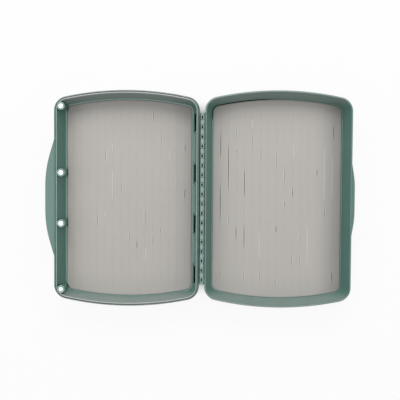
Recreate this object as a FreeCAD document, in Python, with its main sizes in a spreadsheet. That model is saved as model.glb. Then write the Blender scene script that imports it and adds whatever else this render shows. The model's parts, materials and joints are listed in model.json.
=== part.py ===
import FreeCAD, Part

import math
import os
import re

import Sketcher

# A fly box of two moulded trays on one long hinge, lying open and flat on its back.
# X runs across the open box, Y runs along the hinge and Z points up, in millimetres.
# The origin lies under the middle of the open box, on the surface that it rests on.

SIZES = [
    ("shell_length", "184.0", "length of each tray along the hinge, over the bowed ends"),
    ("shell_width", "124.2", "width of each tray from hinge side to latch side"),
    ("shell_depth", "17.0", "depth of each tray from its back to its rim"),
    ("end_radius", "248.7", "radius of the bowed ends"),
    ("corner_radius", "12.1", "radius of the outer corners"),
    ("floor_wall", "2.0", "thickness of each tray's floor"),
    ("rim_band", "4.0", "height of the straight band below the rim"),
    ("draft_inset", "4.4", "how far the back stands in from the rim at the ends and hinge side"),
    ("latch_draft_inset", "1.6", "how far the back stands in from the rim on the latch side"),
    ("back_round", "2.4", "rounding of the edge round each back"),
    ("base_rim_round", "0.5", "rounding of the outer edge of the base's rim"),
    ("lid_rim_round", "0.6", "rounding of the outer edge of the lid's rim"),
    ("lid_land", "1.4", "width of the lid's flat rim"),
    ("lid_rebate", "1.7", "depth of the straight recess inside the lid's rim"),
    ("base_lip", "0.9", "width of the base's rim outside the groove at the tongue's foot"),
    ("groove_depth", "0.8", "depth of that groove below the rim"),
    ("tongue_width", "1.0", "width of the raised tongue on the base's rim"),
    ("tongue_height", "1.2", "height of the tongue above the rim"),
    ("tongue_clearance", "0.3", "gap between the tongue and the lid's rim when shut"),
    ("tongue_round", "0.35", "rounding of the tongue's top edges"),
    ("wall_foot_end", "6.0", "distance of the wall's foot from the outer edge at the ends"),
    ("wall_foot_hinge", "5.8", "distance of the wall's foot from the outer edge on the hinge side"),
    ("base_foot_latch", "7.6", "distance of the base's wall foot from its latch side"),
    ("lid_foot_latch", "6.9", "distance of the lid's wall foot from its latch side"),
    ("base_ledge", "1.2", "width of the ledge between the base's wall foot and its pad's seat"),
    ("lid_ledge", "0.7", "width of the ledge between the lid's wall foot and its pad's seat"),
    ("pad_clearance", "0.3", "gap between a pad's edge and its seat"),
    ("pad_thickness", "3.5", "thickness of each slit pad"),
    ("pad_round", "0.5", "rounding of the pads' upper edges"),
    ("sheet_thickness", "0.3", "thickness of the adhesive sheets under the pads"),
    ("sheet_margin", "3.0", "how far an adhesive sheet stands in from the pad's edge"),
    ("slit_length", "12.4", "length of one slit in a pad"),
    ("slit_width", "0.35", "width of one slit"),
    ("slit_cut", "2.2", "depth of one slit"),
    ("slit_pitch_across", "6.9", "pitch of the slit columns across the pad"),
    ("slit_pitch_along", "15.6", "pitch of the slits along a column"),
    ("slit_edge_across", "5.0", "least distance of the outer slit columns from the pad's sides"),
    ("slit_edge_along", "7.0", "least distance of a column's end slits from the pad's ends"),
    ("hinge_gap", "4.5", "distance between the two trays' outer edges across the hinge"),
    ("shut_gap", "0.1", "gap between the two rims when the box is shut"),
    ("barrel_clearance", "0.4", "gap between the hinge barrel and the trays' sides"),
    ("hinge_end", "18.8", "least distance of the hinge's ends from the trays' ends"),
    ("knuckle_pitch", "8.1", "pitch of the windowed knuckles along the hinge"),
    ("knuckle_gap", "0.2", "gap between neighbouring knuckles"),
    ("knuckle_round", "0.4", "rounding of the barrel's ends on the windowed knuckles"),
    ("windowed_length", "3.6", "length of a windowed knuckle on the base"),
    ("web_drop", "0.7", "how far a knuckle's web lies below the rim"),
    ("knuckle_root", "0.8", "how far a knuckle's web reaches into its tray's wall"),
    ("window_length", "2.3", "length of the window in a knuckle"),
    ("window_width", "1.4", "width of the window in a knuckle"),
    ("pin_diameter", "1.5", "diameter of the hinge pin"),
    ("pin_fit", "0.06", "gap between the pin and its bore"),
    ("pin_end_play", "0.2", "gap between each end of the pin and the closed end of its bore"),
    ("pin_chamfer", "0.25", "chamfer on the pin's ends"),
    ("end_cap", "0.8", "thickness of the plastic that closes each end of the bore"),
    ("base_tab_reach", "7.8", "how far the base's thumb tab stands out"),
    ("base_tab_half", "50.6", "half the length of the base's thumb tab"),
    ("base_tab_thickness", "2.2", "thickness of the base's thumb tab"),
    ("base_tab_drop", "0.6", "how far the base's thumb tab lies below the rim"),
    ("base_tab_ramp", "16.5", "angle of the ends of the base's thumb tab, in degrees"),
    ("base_tab_blend", "95.0", "radius that joins those ends to the tab's straight edge"),
    ("base_tab_round", "0.6", "rounding of the base's thumb tab"),
    ("lid_tab_reach", "2.6", "how far the lid's thumb lip stands out"),
    ("lid_tab_half", "32.0", "half the length of the lid's thumb lip"),
    ("lid_tab_thickness", "2.2", "thickness of the lid's thumb lip"),
    ("lid_tab_drop", "1.1", "how far the lid's thumb lip lies below the rim"),
    ("lid_tab_ramp", "9.0", "angle of the ends of the lid's thumb lip, in degrees"),
    ("lid_tab_blend", "60.0", "radius that joins those ends to the lip's straight edge"),
    ("lid_tab_round", "0.6", "rounding of the lid's thumb lip"),
    ("tab_root", "0.8", "how far a thumb tab reaches into its tray's wall"),
    ("magnet_inner", "21.7", "distance of the inner two magnets from the middle"),
    ("magnet_end", "13.8", "distance of the base's outer two magnets from the tray's ends"),
    ("lid_magnet_end", "21.0", "distance of the lid's outer two magnets from the tray's ends"),
    ("boss_diameter", "6.8", "diameter of the base's magnet bosses"),
    ("boss_edge", "6.0", "distance of a boss's axis from the outer edge"),
    ("base_magnet_diameter", "4.0", "diameter of the base's magnets"),
    ("base_magnet_height", "6.0", "height of the base's magnets"),
    ("base_magnet_recess", "0.15", "how far a base magnet's top lies below its boss"),
    ("lid_magnet_diameter", "5.0", "diameter of the lid's magnets"),
    ("lid_magnet_height", "1.5", "thickness of the lid's magnets"),
    ("lid_magnet_skin", "1.4", "distance of a lid magnet from the outer edge"),
    ("lid_magnet_sink", "5.5", "distance of a lid magnet's top from the rim"),
    ("magnet_fit", "0.05", "gap between a magnet and its seat"),
    ("magnet_chamfer", "0.2", "chamfer on the magnets' edges"),
    ("slot_count", "4", "count of narrow slots beside the hinge"),
    ("slot_end", "26.9", "distance of the end slots' middles from the tray's ends"),
    ("slot_length", "15.0", "length of a narrow slot"),
    ("slot_width", "1.7", "width of a narrow slot"),
    ("slot_edge", "3.1", "distance of a slot from the outer edge"),
    ("slot_foot", "6.0", "height of a slot's bottom above the back"),
    ("recess_gap", "1.2", "plastic left between a slot and a shallow recess"),
    ("recess_edge", "4.0", "distance of a recess from the outer edge"),
    ("recess_foot", "6.6", "height of a recess's bottom above the back"),
    ("overrun", "2.0", "how far a cut starts outside the plastic that it cuts"),
]

document = FreeCAD.newDocument("fly_box")
sheet = document.addObject("Spreadsheet::Sheet", "Sizes")
for row, (alias, number, meaning) in enumerate(SIZES, start=1):
    sheet.set("A%d" % row, meaning)
    sheet.set("B%d" % row, number)
    sheet.setAlias("B%d" % row, alias)
document.recompute()

ALIASES = {alias for alias, number, meaning in SIZES}
VERTICAL_AXIS = -2
ORIGIN_POINT = (-1, 1)
Y_DIRECTION = FreeCAD.Vector(0, 1, 0)
Z_DIRECTION = FreeCAD.Vector(0, 0, 1)
TOUCH = 1e-4

# Places that several pieces share, each worked out from the sizes above.
HALF_WIDTH = "shell_width / 2"
HALF_GAP = "hinge_gap / 2"
HINGE_X = "(base_tab_reach - lid_tab_reach) / 2"
BASE_X = "(%s - %s - %s)" % (HINGE_X, HALF_GAP, HALF_WIDTH)
LID_X = "(%s + %s + %s)" % (HINGE_X, HALF_GAP, HALF_WIDTH)
HINGE_Z = "(shell_depth + shut_gap / 2)"
SHEET_TOP = "(floor_wall + sheet_thickness)"
PAD_TOP = "(floor_wall + sheet_thickness + pad_thickness)"
TONGUE_OUTER = "(lid_land + tongue_clearance)"
TONGUE_INNER = "(lid_land + tongue_clearance + tongue_width)"
TONGUE_TOP = "(shell_depth + tongue_height)"
BARREL_RADIUS = "(hinge_gap / 2 - barrel_clearance)"
KNUCKLE_PAIRS = "floor((shell_length - 2 * hinge_end) / knuckle_pitch)"
HINGE_HALF = "(%s * knuckle_pitch / 2)" % KNUCKLE_PAIRS
PLAIN_LENGTH = "(knuckle_pitch - windowed_length - 2 * knuckle_gap)"
WEB_TOP = "(shell_depth - web_drop)"
PIN_HALF = "(%s - end_cap - pin_end_play)" % HINGE_HALF
BORE_HALF = "(%s - end_cap)" % HINGE_HALF
SLOT_PITCH = "((shell_length - 2 * slot_end) / (slot_count - 1))"
RECESS_LENGTH = "(%s - slot_length - 2 * recess_gap)" % SLOT_PITCH
LID_MAGNET_Z = "(shell_depth - lid_magnet_sink - lid_magnet_diameter / 2)"
MAGNET_OUTER = "(shell_length / 2 - magnet_end)"
LID_MAGNET_OUTER = "(shell_length / 2 - lid_magnet_end)"
BASE_MAGNETS = ["-" + MAGNET_OUTER, "-magnet_inner", "magnet_inner", MAGNET_OUTER]
LID_MAGNETS = ["-" + LID_MAGNET_OUTER, "-magnet_inner", "magnet_inner", LID_MAGNET_OUTER]
BASE_SIDE = -1
LID_SIDE = 1


def formula(text):
    """Give a sum of sizes as an expression that reads them from the sheet."""
    return re.sub(r"[a-z][a-z_]*", lambda word: qualified(word.group(0)), text)


def qualified(word):
    """Give one word of a sum, with the sheet's name before it if it is a size."""
    return "Sizes." + word if word in ALIASES else word


def value(text):
    """Work out a sum of sizes as a number."""
    return float(sheet.evalExpression(formula(text)))


def bind(item, prop, text):
    """Tie one property of an object to a sum of sizes."""
    item.setExpression(prop, formula(text))


def new_body(label):
    """Start a sub-part of its own."""
    body = document.addObject("PartDesign::Body", label)
    body.Label = label
    return body


def origin_feature(body, role):
    """Find one of a body's own origin planes or axes."""
    return [item for item in body.Origin.OriginFeatures if item.Role == role][0]


def new_sketch(body, name, plane="XY_Plane", offset="0"):
    """Start a sketch on one of a body's origin planes, moved along its normal."""
    sketch = body.newObject("Sketcher::SketchObject", name)
    sketch.AttachmentSupport = (origin_feature(body, plane), [""])
    sketch.MapMode = "FlatFace"
    bind(sketch, "AttachmentOffset.Base.z", offset)
    return sketch


def measure(sketch, kind, where, text):
    """Add a dimension to a sketch and tie it to a sum of sizes."""
    index = sketch.addConstraint(Sketcher.Constraint(kind, *where, value(text)))
    bind(sketch, "Constraints[%d]" % index, text)


def relate(sketch, kind, *where):
    """Add a constraint that has no size."""
    sketch.addConstraint(Sketcher.Constraint(kind, *where))


def add_line(sketch, start, end):
    """Add a straight edge between two points given as pairs."""
    line = Part.LineSegment(FreeCAD.Vector(*start, 0), FreeCAD.Vector(*end, 0))
    return sketch.addGeometry(line)


def add_arc(sketch, centre, radius, start, end):
    """Add an arc from its start angle to its end angle."""
    circle = Part.Circle(FreeCAD.Vector(*centre, 0), Z_DIRECTION, radius)
    return sketch.addGeometry(Part.ArcOfCircle(circle, start, end))


def add_circle(sketch, across, up, radius):
    """Add a circle and tie its centre and radius to sums of sizes."""
    centre = FreeCAD.Vector(value(across), value(up), 0)
    index = sketch.addGeometry(Part.Circle(centre, Z_DIRECTION, value(radius)))
    place_point(sketch, index, 3, across, up)
    measure(sketch, "Radius", (index,), radius)
    return index


def place_point(sketch, edge, point, across, up):
    """Tie one point of a sketch to its distances from the origin."""
    for kind, text, axis in (("DistanceX", across, VERTICAL_AXIS), ("DistanceY", up, -1)):
        number = value(text)
        if text == "0":
            relate(sketch, "PointOnObject", edge, point, axis)
        elif number >= 0:
            measure(sketch, kind, (*ORIGIN_POINT, edge, point), text)
        else:
            measure(sketch, kind, (edge, point, *ORIGIN_POINT), "-(%s)" % text)


def add_rectangle(sketch, left, right, low, high):
    """Add a rectangle whose four sides are tied to sums of sizes."""
    x0, x1, y0, y1 = value(left), value(right), value(low), value(high)
    corners = [(x0, y0), (x1, y0), (x1, y1), (x0, y1)]
    edges = [add_line(sketch, corners[i], corners[(i + 1) % 4]) for i in range(4)]
    for i in range(4):
        relate(sketch, "Coincident", edges[i], 2, edges[(i + 1) % 4], 1)
        relate(sketch, "Vertical" if i % 2 else "Horizontal", edges[i])
    place_point(sketch, edges[0], 1, left, low)
    place_point(sketch, edges[2], 1, right, high)


def add_outline(sketch, side, end, hinge, latch):
    """Add the tray's outline, moved inwards by one inset for each kind of side.

    The sides are straight, the ends are bowed and the corners are arcs that run
    smoothly into both. The latch side lies towards +X where side is positive.
    """
    insets = (hinge, latch) if side > 0 else (latch, hinge)
    left, right = ["(%s - (%s))" % (HALF_WIDTH, inset) for inset in insets]
    bow = "(end_radius - (%s))" % end
    corner = "(corner_radius - (%s))" % end
    drop = "(end_radius - shell_length / 2)"
    big, small = value(bow), value(corner)
    x_right, x_left = value(right) - small, small - value(left)
    y_bow = -value(drop)
    y_right = y_bow + math.sqrt((big - small) ** 2 - x_right ** 2)
    y_left = y_bow + math.sqrt((big - small) ** 2 - x_left ** 2)
    a_right = math.atan2(y_right - y_bow, x_right)
    a_left = math.atan2(y_left - y_bow, x_left)
    turn = 2 * math.pi
    edges = [
        add_line(sketch, (value(right), -y_right), (value(right), y_right)),
        add_arc(sketch, (x_right, y_right), small, 0, a_right),
        add_arc(sketch, (0, y_bow), big, a_right, a_left),
        add_arc(sketch, (x_left, y_left), small, a_left, math.pi),
        add_line(sketch, (-value(left), y_left), (-value(left), -y_left)),
        add_arc(sketch, (x_left, -y_left), small, math.pi, turn - a_left),
        add_arc(sketch, (0, -y_bow), big, turn - a_left, turn - a_right),
        add_arc(sketch, (x_right, -y_right), small, turn - a_right, turn),
    ]
    for i, edge in enumerate(edges):
        relate(sketch, "Tangent", edge, 2, edges[(i + 1) % len(edges)], 1)
    relate(sketch, "Vertical", edges[0])
    relate(sketch, "Vertical", edges[4])
    for i in (1, 3, 5, 7):
        measure(sketch, "Radius", (edges[i],), corner)
    for i in (2, 6):
        measure(sketch, "Radius", (edges[i],), bow)
        relate(sketch, "PointOnObject", edges[i], 3, VERTICAL_AXIS)
    measure(sketch, "DistanceY", (edges[2], 3, *ORIGIN_POINT), drop)
    measure(sketch, "DistanceY", (*ORIGIN_POINT, edges[6], 3), drop)
    measure(sketch, "DistanceX", (*ORIGIN_POINT, edges[0], 1), right)
    measure(sketch, "DistanceX", (edges[4], 1, *ORIGIN_POINT), left)


def outline_sketch(body, name, side, height, *insets):
    """Make a sketch of the outline at a height, inset alike or side by side."""
    end, hinge, latch = insets if len(insets) == 3 else insets * 3
    sketch = new_sketch(body, name, offset=height)
    add_outline(sketch, side, end, hinge, latch)
    return sketch


def ring_sketch(body, name, side, outer, inner):
    """Make a sketch at the rim's height of the band between two insets."""
    sketch = outline_sketch(body, name, side, "shell_depth", outer)
    add_outline(sketch, side, inner, inner, inner)
    return sketch


def pad(body, name, sketch, length, downwards=False, both_ways=False):
    """Add plastic along a sketch's normal."""
    feature = body.newObject("PartDesign::Pad", name)
    feature.Profile = sketch
    feature.SideType = "Symmetric" if both_ways else "One side"
    feature.Reversed = downwards
    bind(feature, "Length", length)
    return feature


def pocket(body, name, sketch, length, upwards=False, both_ways=False):
    """Cut plastic away along a sketch's normal, and check that something went."""
    before = volume(body)
    feature = body.newObject("PartDesign::Pocket", name)
    feature.Profile = sketch
    feature.SideType = "Symmetric" if both_ways else "One side"
    feature.Reversed = upwards
    bind(feature, "Length", length)
    check_cut(body, name, before)
    return feature


def loft(body, name, kind, low_sketch, high_sketch):
    """Join two outlines with straight walls."""
    feature = body.newObject("PartDesign::" + kind, name)
    feature.Profile = low_sketch
    feature.Sections = [high_sketch]
    feature.Ruled = True
    return feature


def volume(body):
    """Recompute and measure a body."""
    document.recompute()
    return body.Shape.Volume


def check_cut(body, name, before):
    """Stop if a cut left the body as it was."""
    if volume(body) >= before:
        raise RuntimeError("%s cuts nothing" % name)


def pattern(body, name, feature, axis, length, count, second=None):
    """Repeat a feature along one axis, or along two."""
    repeated = body.newObject("PartDesign::LinearPattern", name)
    repeated.Originals = [feature]
    repeated.Direction = (origin_feature(body, axis), [""])
    bind(repeated, "Length", length)
    bind(repeated, "Occurrences", count)
    if second:
        axis, length, count = second
        repeated.Direction2 = (origin_feature(body, axis), [""])
        bind(repeated, "Length2", length)
        bind(repeated, "Occurrences2", count)
    body.Tip = repeated
    return repeated


def edges_where(shape, test):
    """Name the edges of a shape that pass a test."""
    return ["Edge%d" % i for i, edge in enumerate(shape.Edges, start=1) if test(edge)]


def lies_at(edge, height):
    """Say whether a whole edge lies at one height."""
    box = edge.BoundBox
    return abs(box.ZMin - height) < TOUCH and abs(box.ZMax - height) < TOUCH


def soften(body, name, kind, edges, size):
    """Round or chamfer edges of the body's last feature."""
    document.recompute()
    base = body.Tip
    feature = body.newObject("PartDesign::" + kind, name)
    feature.Base = (base, edges)
    bind(feature, "Radius" if kind == "Fillet" else "Size", size)
    document.recompute()
    return feature


def feet(side):
    """List how far the wall's foot stands in at the ends, hinge side and latch side."""
    latch = "lid_foot_latch" if side > 0 else "base_foot_latch"
    return ["wall_foot_end", "wall_foot_hinge", latch]


def seat_edges(side, more="0"):
    """List how far the pad's seat, or an edge inside it, stands in on each side."""
    ledge = "lid_ledge" if side > 0 else "base_ledge"
    return ["%s + %s + %s" % (foot, ledge, more) for foot in feet(side)]


def outer_shell(body, side, which):
    """Make the solid block of a tray with its thumb tab and soft outer edges."""
    tab_height = "(shell_depth - {0}_tab_drop - {0}_tab_thickness)".format(which)
    drafts = ("draft_inset", "draft_inset", "latch_draft_inset")
    band_foot = "shell_depth - rim_band"
    back = outline_sketch(body, "back_outline", side, "0", *drafts)
    waist = outline_sketch(body, "band_outline", side, band_foot, "0")
    loft(body, "drafted_sides", "AdditiveLoft", back, waist)
    rim = outline_sketch(body, "rim_outline", side, band_foot, "0")
    pad(body, "rim_band", rim, "rim_band")
    add_tab(body, side, which, tab_height)
    document.recompute()
    back_edges = edges_where(body.Shape, lambda edge: lies_at(edge, 0))
    soften(body, "back_rounding", "Fillet", back_edges, "back_round")
    top = value("shell_depth")
    rim_edges = edges_where(body.Shape, lambda edge: lies_at(edge, top))
    soften(body, "rim_rounding", "Fillet", rim_edges, which + "_rim_round")
    levels = [value(tab_height), value("shell_depth - %s_tab_drop" % which)]
    side_x = value(HALF_WIDTH) + TOUCH

    def on_free_edge(edge):
        middle = edge.valueAt((edge.FirstParameter + edge.LastParameter) / 2)
        return side * middle.x > side_x and any(lies_at(edge, level) for level in levels)

    tab_edges = edges_where(body.Shape, on_free_edge)
    soften(body, "tab_rounding", "Fillet", tab_edges, which + "_tab_round")


def hollow(body, side, mouth_inset, mouth_height):
    """Cut the sloped inner walls, and the pad's seat inside a ledge at their foot."""
    before = volume(body)
    foot = outline_sketch(body, "wall_foot_outline", side, PAD_TOP, *feet(side))
    mouth = outline_sketch(body, "mouth_outline", side, mouth_height, mouth_inset)
    loft(body, "sloped_walls", "SubtractiveLoft", foot, mouth)
    check_cut(body, "sloped_walls", before)
    seat = outline_sketch(body, "pad_seat_outline", side, PAD_TOP, *seat_edges(side))
    pocket(body, "pad_seat", seat, "sheet_thickness + pad_thickness")


def knuckle_section(body, side, name, place):
    """Draw a knuckle's section: a barrel on a web that runs into the wall."""
    axis_x = "(%s + %s)" % (HALF_WIDTH, HALF_GAP)
    root_x = "(%s - knuckle_root)" % HALF_WIDTH
    sketch = new_sketch(body, name, "XZ_Plane", place)
    toward = -side
    centre = (toward * value(axis_x), value(HINGE_Z))
    radius = value(BARREL_RADIUS)
    sink = math.asin(value(HINGE_Z + " - " + WEB_TOP) / radius)
    below = centre[1] - radius
    crest = (centre[0] - toward * radius * math.cos(sink), value(WEB_TOP))
    root = toward * value(root_x)
    quarter = math.pi / 2
    if toward > 0:
        arc = add_arc(sketch, centre, radius, -quarter, math.pi + sink)
        foot_point, crest_point = 1, 2
    else:
        arc = add_arc(sketch, centre, radius, -sink, 3 * quarter)
        foot_point, crest_point = 2, 1
    top = add_line(sketch, crest, (root, crest[1]))
    back = add_line(sketch, (root, crest[1]), (root, below))
    under = add_line(sketch, (root, below), (centre[0], below))
    relate(sketch, "Coincident", arc, crest_point, top, 1)
    relate(sketch, "Coincident", top, 2, back, 1)
    relate(sketch, "Coincident", back, 2, under, 1)
    relate(sketch, "Tangent", arc, foot_point, under, 2)
    relate(sketch, "Horizontal", top)
    relate(sketch, "Horizontal", under)
    relate(sketch, "Vertical", back)
    measure(sketch, "Radius", (arc,), BARREL_RADIUS)
    sign = "" if toward > 0 else "-"
    place_point(sketch, arc, 3, sign + axis_x, HINGE_Z)
    measure(sketch, "DistanceY", (*ORIGIN_POINT, top, 1), WEB_TOP)
    if toward > 0:
        measure(sketch, "DistanceX", (*ORIGIN_POINT, back, 1), root_x)
    else:
        measure(sketch, "DistanceX", (back, 1, *ORIGIN_POINT), root_x)
    return sketch


def add_knuckles(body, side, first, count, length):
    """Add this tray's row of whole knuckles."""
    sketch = knuckle_section(body, side, "knuckle_section", first)
    knuckle = pad(body, "knuckle", sketch, length, both_ways=True)
    pattern(body, "knuckles", knuckle, "Y_Axis", "knuckle_pitch * (%s - 1)" % count, count)


def add_end_knuckles(body, side):
    """Add the two half knuckles that close the ends of the hinge."""
    place = "(%s - %s / 4)" % (HINGE_HALF, PLAIN_LENGTH)
    sketch = knuckle_section(body, side, "end_knuckle_section", place)
    length = "%s / 2" % PLAIN_LENGTH
    knuckle = pad(body, "end_knuckle", sketch, length, both_ways=True)
    pattern(body, "end_knuckles", knuckle, "Y_Axis", "2 * %s" % place, "2")


def round_knuckles(body):
    """Round the ends of the barrels on the windowed knuckles."""
    document.recompute()
    radius = value(BARREL_RADIUS)

    def is_barrel_end(edge):
        circle = isinstance(edge.Curve, Part.Circle)
        return circle and abs(edge.Curve.Radius - radius) < TOUCH

    ends = edges_where(body.Shape, is_barrel_end)
    soften(body, "knuckle_rounding", "Fillet", ends, "knuckle_round")


def bore_knuckles(body, side, length):
    """Drill the pin's bore along the hinge."""
    across = "%s(%s + %s)" % ("-" if side > 0 else "", HALF_WIDTH, HALF_GAP)
    sketch = new_sketch(body, "bore_section", "XZ_Plane")
    add_circle(sketch, across, HINGE_Z, "(pin_diameter / 2 + pin_fit)")
    pocket(body, "pin_bore", sketch, length, both_ways=True)


def cut_windows(body, side, first, count, upwards):
    """Cut the oval windows through one face of this tray's knuckles."""
    across = "%s(%s + %s)" % ("-" if side > 0 else "", HALF_WIDTH, HALF_GAP)
    x = value(across)
    sketch = new_sketch(body, "window_outline", offset=HINGE_Z)
    radius = "(window_width / 2)"
    reach = "(window_length / 2 - window_width / 2)"
    half = value(radius)
    y_high = value(first) + value(reach)
    y_low = value(first) - value(reach)
    cap = add_arc(sketch, (x, y_high), half, 0, math.pi)
    left = add_line(sketch, (x - half, y_high), (x - half, y_low))
    cup = add_arc(sketch, (x, y_low), half, math.pi, 2 * math.pi)
    right = add_line(sketch, (x + half, y_low), (x + half, y_high))
    for one, other in ((cap, left), (left, cup), (cup, right), (right, cap)):
        relate(sketch, "Tangent", one, 2, other, 1)
    relate(sketch, "Vertical", left)
    measure(sketch, "Radius", (cap,), radius)
    place_point(sketch, cap, 3, across, "%s + %s" % (first, reach))
    place_point(sketch, cup, 3, across, "%s - %s" % (first, reach))
    depth = "%s + overrun" % BARREL_RADIUS
    window = pocket(body, "window", sketch, depth, upwards=upwards)
    pattern(body, "windows", window, "Y_Axis", "knuckle_pitch * (%s - 1)" % count, count)


def add_tab(body, side, which, height):
    """Add the thumb tab on the latch side: a straight edge with ramped ends."""
    words = ("reach", "half", "thickness", "ramp", "blend")
    reach, half, thickness, ramp, blend = ["%s_tab_%s" % (which, word) for word in words]
    slope = math.radians(value(ramp))
    edge_x = value(HALF_WIDTH)
    root_x = value(HALF_WIDTH + " - tab_root")
    tip_x = edge_x + value(reach)
    turn_length = value(blend) * math.tan(slope / 2)
    meet_y = value(half) - value(reach) / math.tan(slope)
    ramp_y = meet_y + turn_length * math.cos(slope)
    ramp_x = tip_x - turn_length * math.sin(slope)
    flat_y = meet_y - turn_length
    centre_x = tip_x - value(blend)
    sketch = new_sketch(body, "tab_outline", offset=height)

    def at(x, y):
        return (side * x, y)

    flat = add_line(sketch, at(tip_x, -flat_y), at(tip_x, flat_y))
    root = add_line(sketch, at(root_x, value(half)), at(root_x, -value(half)))
    ramps = []
    ends = []
    for way in (1, -1):
        start = 0 if side > 0 else math.pi
        angles = sorted((start, start + way * side * slope))
        centre = at(centre_x, way * flat_y)
        arc = add_arc(sketch, centre, value(blend), *angles)
        inner, outer = (1, 2) if way * side > 0 else (2, 1)
        slant = add_line(sketch, at(ramp_x, way * ramp_y), at(edge_x, way * value(half)))
        end = add_line(sketch, at(edge_x, way * value(half)), at(root_x, way * value(half)))
        relate(sketch, "Tangent", arc, inner, flat, 2 if way > 0 else 1)
        relate(sketch, "Tangent", arc, outer, slant, 1)
        relate(sketch, "Coincident", slant, 2, end, 1)
        relate(sketch, "Coincident", end, 2, root, 1 if way > 0 else 2)
        relate(sketch, "Horizontal", end)
        measure(sketch, "Radius", (arc,), blend)
        ramps.append(slant)
        ends.append(end)
    relate(sketch, "Vertical", flat)
    relate(sketch, "Vertical", root)
    sign = "" if side > 0 else "-"
    place_point(sketch, ends[0], 1, "%s%s" % (sign, HALF_WIDTH), half)
    place_point(sketch, ends[1], 1, "%s%s" % (sign, HALF_WIDTH), "-" + half)
    tip = "%s(%s + %s)" % (sign, HALF_WIDTH, reach)
    root_text = "%s(%s - tab_root)" % (sign, HALF_WIDTH)
    for edge, text in ((flat, tip), (root, root_text)):
        if side > 0:
            measure(sketch, "DistanceX", (*ORIGIN_POINT, edge, 1), text)
        else:
            measure(sketch, "DistanceX", (edge, 1, *ORIGIN_POINT), "-(%s)" % text)
    lean = "(90 - %s)" % ramp
    for way, slant in zip((1, -1), ramps):
        direction = math.atan2(way * (value(half) - ramp_y), side * (edge_x - ramp_x))
        angle = sketch.addConstraint(Sketcher.Constraint("Angle", slant, direction))
        turned = {(1, 1): "180 - " + lean, (1, -1): "180 + " + lean,
                  (-1, 1): lean, (-1, -1): "-" + lean}[(side, way)]
        bind(sketch, "Constraints[%d]" % angle, "(%s) * 1 deg" % turned)
    pad(body, "tab", sketch, thickness)


def make_base_shell():
    """Make the base: a tray with a tongue in a groove, bosses and a wide thumb tab."""
    body = new_body("base_shell")
    outer_shell(body, BASE_SIDE, "base")
    hollow(body, BASE_SIDE, TONGUE_INNER, "shell_depth")
    groove = ring_sketch(body, "groove_outline", BASE_SIDE, "base_lip", TONGUE_OUTER)
    pocket(body, "groove", groove, "groove_depth")
    tongue = ring_sketch(body, "tongue_outline", BASE_SIDE, TONGUE_OUTER, TONGUE_INNER)
    pad(body, "tongue", tongue, "tongue_height")
    document.recompute()
    top = value(TONGUE_TOP)
    crest = edges_where(body.Shape, lambda edge: lies_at(edge, top))
    soften(body, "tongue_rounding", "Fillet", crest, "tongue_round")
    add_bosses(body)
    cut_slots(body)
    first = "(%s - knuckle_pitch / 2)" % HINGE_HALF
    add_knuckles(body, BASE_SIDE, first, KNUCKLE_PAIRS, "windowed_length")
    round_knuckles(body)
    bore_knuckles(body, BASE_SIDE, "2 * %s" % HINGE_HALF)
    cut_windows(body, BASE_SIDE, "-" + first, KNUCKLE_PAIRS, True)
    bind(body, "Placement.Base.x", BASE_X)
    return body


def add_bosses(body):
    """Stand the four magnet bosses in the latch wall and drill their seats."""
    across = "-(%s - boss_edge)" % HALF_WIDTH
    posts = new_sketch(body, "boss_outline", offset="floor_wall")
    for place in BASE_MAGNETS:
        add_circle(posts, across, place, "boss_diameter / 2")
    pad(body, "bosses", posts, "%s - floor_wall" % TONGUE_TOP)
    seats = new_sketch(body, "magnet_seat_outline", offset=TONGUE_TOP)
    for place in BASE_MAGNETS:
        add_circle(seats, across, place, "(base_magnet_diameter / 2 + magnet_fit)")
    pocket(body, "magnet_seats", seats, "base_magnet_recess + base_magnet_height")


def cut_slots(body):
    """Cut the narrow slots and the shallow recesses beside the hinge."""
    slot_near = "(%s - slot_edge)" % HALF_WIDTH
    slot_far = "(%s - slot_edge - slot_width)" % HALF_WIDTH
    last = "(shell_length / 2 - slot_end)"
    sketch = new_sketch(body, "slot_outline", offset="slot_foot")
    low = "-(%s + slot_length / 2)" % last
    high = "-(%s - slot_length / 2)" % last
    add_rectangle(sketch, slot_far, slot_near, low, high)
    slot = pocket(body, "slot", sketch, "shell_depth - slot_foot", upwards=True)
    pattern(body, "slots", slot, "Y_Axis", "2 * " + last, "slot_count")
    recess_near = "(%s - recess_edge)" % HALF_WIDTH
    recess_far = "(%s - wall_foot_hinge)" % HALF_WIDTH
    middle = "(%s - %s / 2)" % (last, SLOT_PITCH)
    sketch = new_sketch(body, "recess_outline", offset="recess_foot")
    low = "-(%s + %s / 2)" % (middle, RECESS_LENGTH)
    high = "-(%s - %s / 2)" % (middle, RECESS_LENGTH)
    add_rectangle(sketch, recess_far, recess_near, low, high)
    recess = pocket(body, "recess", sketch, "shell_depth - recess_foot", upwards=True)
    pattern(body, "recesses", recess, "Y_Axis", "2 * " + middle, "slot_count - 1")


def make_lid_shell():
    """Make the lid: a tray with a plain rim, a small thumb lip and hidden magnets."""
    body = new_body("lid_shell")
    outer_shell(body, LID_SIDE, "lid")
    rebate = outline_sketch(body, "rebate_outline", LID_SIDE, "shell_depth", "lid_land")
    pocket(body, "rebate", rebate, "lid_rebate")
    hollow(body, LID_SIDE, "lid_land", "shell_depth - lid_rebate")
    seat_lid_magnets(body)
    first = "(%s - knuckle_pitch)" % HINGE_HALF
    count = "(%s - 1)" % KNUCKLE_PAIRS
    add_knuckles(body, LID_SIDE, first, count, PLAIN_LENGTH)
    add_end_knuckles(body, LID_SIDE)
    bore_knuckles(body, LID_SIDE, "2 * %s" % BORE_HALF)
    cut_windows(body, LID_SIDE, "-" + first, count, False)
    bind(body, "Placement.Base.x", LID_X)
    return body


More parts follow.
